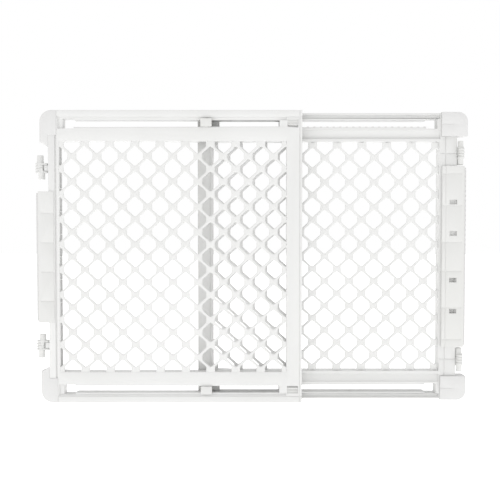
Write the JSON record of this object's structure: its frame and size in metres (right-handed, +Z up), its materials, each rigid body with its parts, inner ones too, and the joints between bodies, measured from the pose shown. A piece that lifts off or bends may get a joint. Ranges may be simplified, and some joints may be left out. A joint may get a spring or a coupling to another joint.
{
  "type": "pet gate",
  "caption": "Freestanding sliding barrier for a doorway: lattice panels that overlap and slide on hooks in slotted rails, with wall pads, end caps and swing-out pivot posts.",
  "frame": {"origin": "on the floor, at the middle of the stored gate's width and depth", "axes": "+X along the gate from the hinge end to the latch end, +Y from the front panel to the rear panel, +Z up"},
  "size_m": [0.9825, 0.0654, 0.66],
  "materials": {
    "white_plastic": "satin moulded plastic",
    "soft_bumper": "soft matt vinyl",
    "steel": "zinc plated"
  },
  "bodies": {
    "front": {"front_frame": "white_plastic", "front_lattice": "white_plastic", "left_bumper_top": "soft_bumper", "left_bumper_bottom": "soft_bumper", "left_pad": "white_plastic", "left_pad_strip": "soft_bumper", "left_pad_screws": "steel", "front_hook_top": "white_plastic", "front_hook_bottom": "white_plastic", "hinge_pivot_top": "steel", "hinge_pivot_bottom": "steel"},
    "rear": {"rear_frame": "white_plastic", "rear_lattice": "white_plastic", "right_cap_top": "soft_bumper", "right_cap_bottom": "soft_bumper", "end_plate": "white_plastic", "end_plate_strip": "soft_bumper", "end_plate_screws": "steel", "rear_hook_top": "white_plastic", "rear_hook_bottom": "white_plastic", "ratchet_strip_top": "white_plastic", "ratchet_strip_bottom": "white_plastic", "latch_pivot_top": "steel", "latch_pivot_bottom": "steel"},
    "width_lock_top": {"width_lock_top": "white_plastic"},
    "width_lock_bottom": {"width_lock_bottom": "white_plastic"},
    "hinge_fitting_top": {"hinge_fitting_top": "white_plastic"},
    "hinge_fitting_bottom": {"hinge_fitting_bottom": "white_plastic"},
    "latch_fitting_top": {"latch_fitting_top": "white_plastic"},
    "latch_fitting_bottom": {"latch_fitting_bottom": "white_plastic"}
  },
  "joints": [
    {"name": "width_slide", "type": "slide", "parent": "front", "child": "rear", "axis": [1, 0, 0], "range_m": [-0.315, 0.09]},
    {"name": "lock_top_slide", "type": "slide", "parent": "front", "child": "width_lock_top", "axis": [0, 0, -1], "range_m": [0, 0.0035]},
    {"name": "lock_bottom_slide", "type": "slide", "parent": "front", "child": "width_lock_bottom", "axis": [0, 0, 1], "range_m": [0, 0.0035]},
    {"name": "hinge_top_fold", "type": "hinge", "parent": "front", "child": "hinge_fitting_top", "pos_m": [-0.467, -0.01475, 0.531], "axis": [0, 0, -1], "range_deg": [0, 90]},
    {"name": "hinge_bottom_fold", "type": "hinge", "parent": "front", "child": "hinge_fitting_bottom", "pos_m": [-0.467, -0.01475, 0.129], "axis": [0, 0, -1], "range_deg": [0, 90]},
    {"name": "latch_top_fold", "type": "hinge", "parent": "rear", "child": "latch_fitting_top", "pos_m": [0.4765, 0.01475, 0.566], "axis": [0, 0, 1], "range_deg": [0, 90]},
    {"name": "latch_bottom_fold", "type": "hinge", "parent": "rear", "child": "latch_fitting_bottom", "pos_m": [0.4765, 0.01475, 0.094], "axis": [0, 0, 1], "range_deg": [0, 90]}
  ]
}
